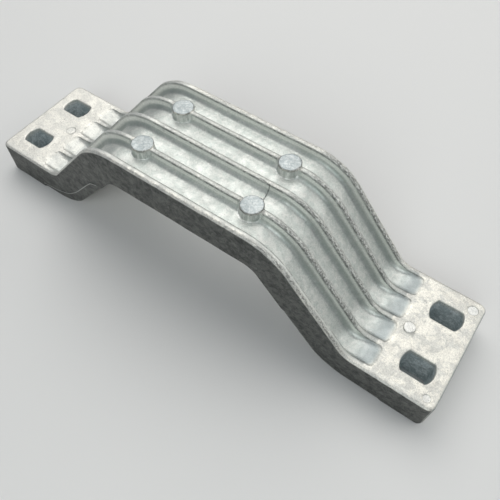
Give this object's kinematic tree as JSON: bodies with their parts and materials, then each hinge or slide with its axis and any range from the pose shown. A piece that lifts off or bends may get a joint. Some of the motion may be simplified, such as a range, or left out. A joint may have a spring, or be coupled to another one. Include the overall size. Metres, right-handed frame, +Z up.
{
  "type": "sacrificial anode",
  "caption": "Cast zinc bracket anode: a ribbed bar that arches between flat slotted feet and bolts across an outboard motor's clamp bracket.",
  "frame": {"origin": "centre of the bar on the plane that both feet rest on", "axes": "+X along the bar, +Y across it, +Z up from the feet towards the arch"},
  "size_m": [0.2194, 0.05, 0.0553],
  "materials": {
    "zinc_casting": "as-cast zinc, satin, light grey"
  },
  "bodies": {
    "root": {"anode_bar": "zinc_casting"}
  },
  "joints": []
}
